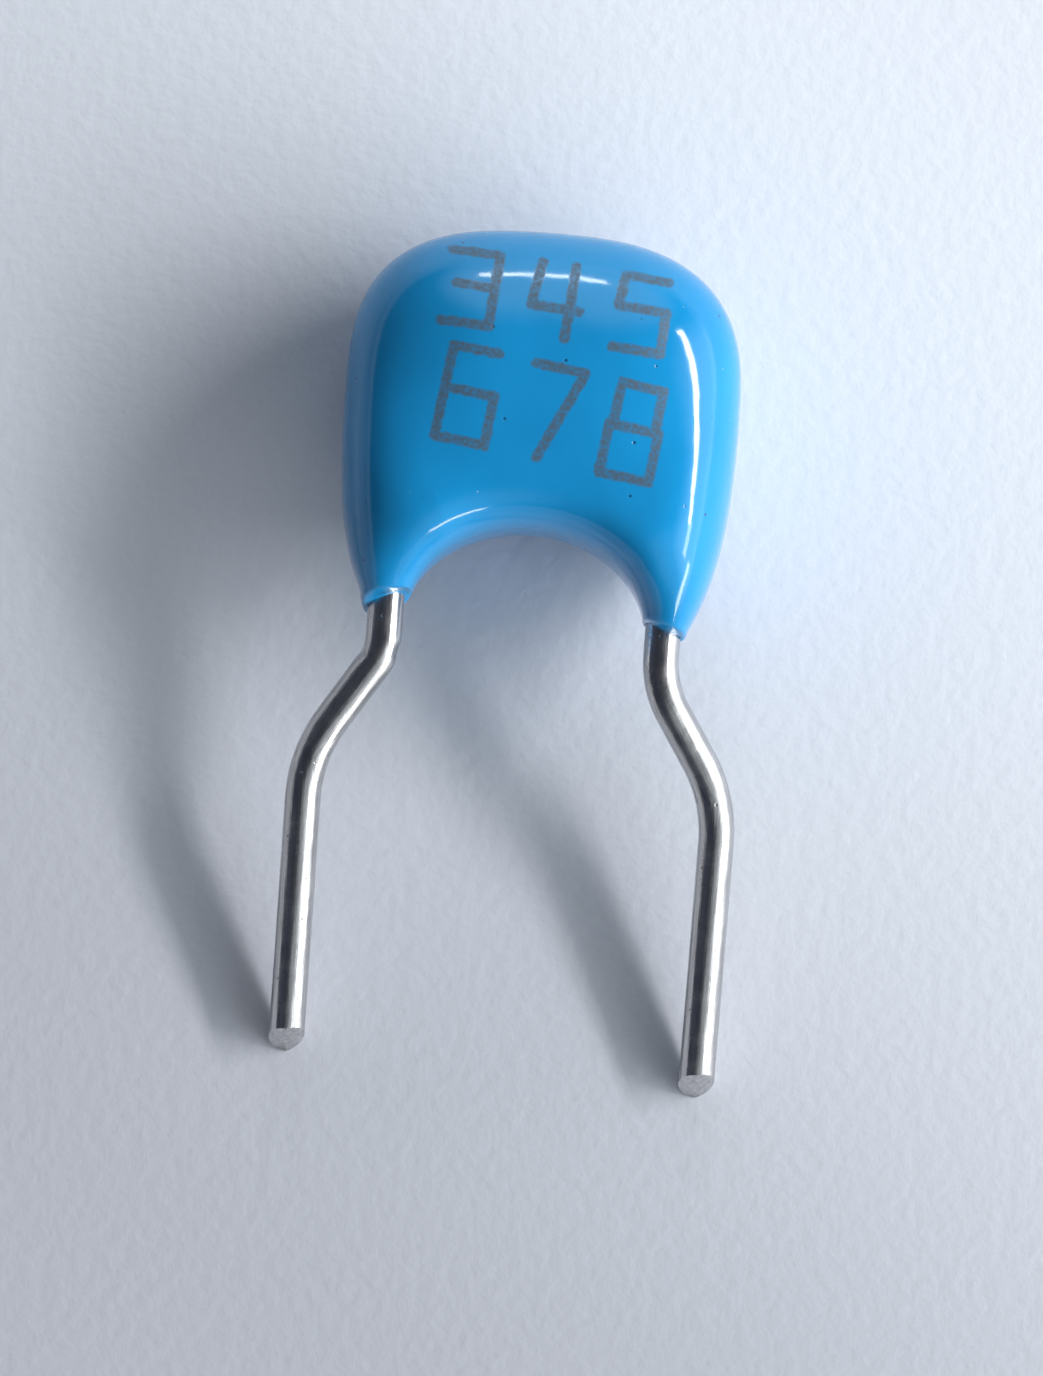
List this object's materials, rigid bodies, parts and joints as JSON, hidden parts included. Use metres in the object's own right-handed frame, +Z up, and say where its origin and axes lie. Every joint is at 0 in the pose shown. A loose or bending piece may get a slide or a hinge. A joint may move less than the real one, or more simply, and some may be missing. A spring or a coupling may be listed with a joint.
{
  "type": "metal oxide varistor",
  "caption": "Resin-dipped metal oxide varistor with a rounded-square body and formed wire leads, for surge protection on a circuit board.",
  "frame": {"origin": "on the surface the part lies on, under the middle of its bounding box", "axes": "+Y from the lead tips to the far end of the body, +X to the right seen from the front, +Z up, out of the body's front"},
  "size_m": [0.0082, 0.0155, 0.0044],
  "materials": {
    "blue_resin": "gloss",
    "zinc_oxide": "matte",
    "fired_silver": "satin",
    "tinned_wire": "gloss",
    "solder": "satin"
  },
  "bodies": {
    "root": {"resin_coating": "blue_resin", "ceramic_element": "zinc_oxide", "front_electrode": "fired_silver", "back_electrode": "fired_silver", "left_lead": "tinned_wire", "right_lead": "tinned_wire", "front_solder": "solder", "back_solder": "solder"}
  },
  "joints": []
}
